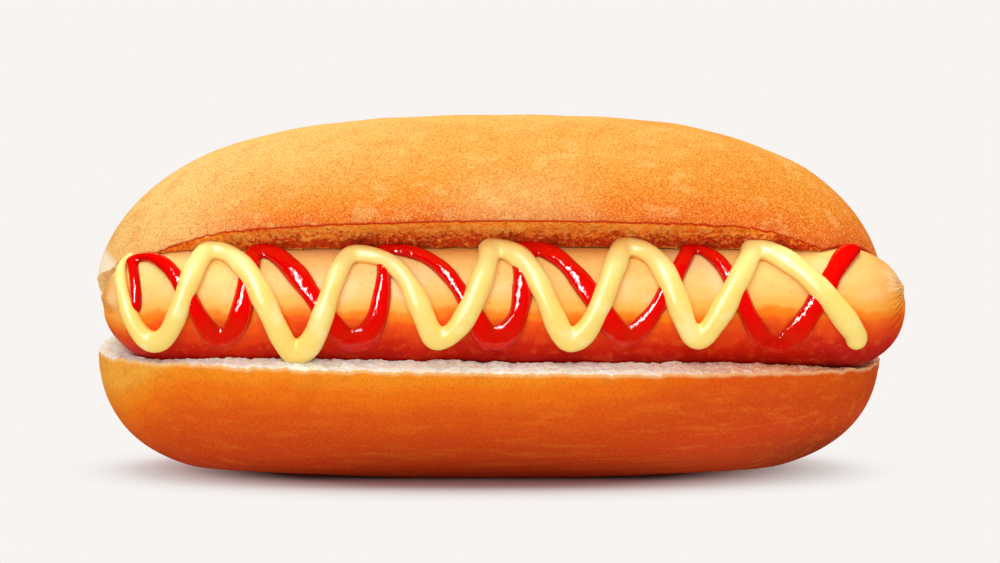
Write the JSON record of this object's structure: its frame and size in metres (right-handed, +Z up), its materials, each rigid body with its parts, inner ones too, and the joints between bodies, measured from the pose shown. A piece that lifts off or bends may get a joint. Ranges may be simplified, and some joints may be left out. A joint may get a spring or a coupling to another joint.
{
  "type": "hot dog",
  "caption": "Frankfurter in a soft side-cut bun opened along its back, with a zigzag of mustard and a zigzag of ketchup piped over the sausage.",
  "frame": {"origin": "under the middle of the whole hot dog's bounding box, on the surface the bun's flat base rests on", "axes": "+X along the bun and the sausage, -Y out of the bun's mouth towards the viewer, +Z up"},
  "size_m": [0.1562, 0.0568, 0.0688],
  "materials": {
    "bread": "matte, golden baked crust with pale open crumb on the torn faces",
    "sausage_skin": "satin cooked skin, golden above and deep red-brown below",
    "mustard": "soft sheen, pale yellow sauce",
    "ketchup": "wet gloss, bright red sauce"
  },
  "bodies": {
    "root": {"bun": "bread", "sausage": "sausage_skin"}
  },
  "joints": []
}
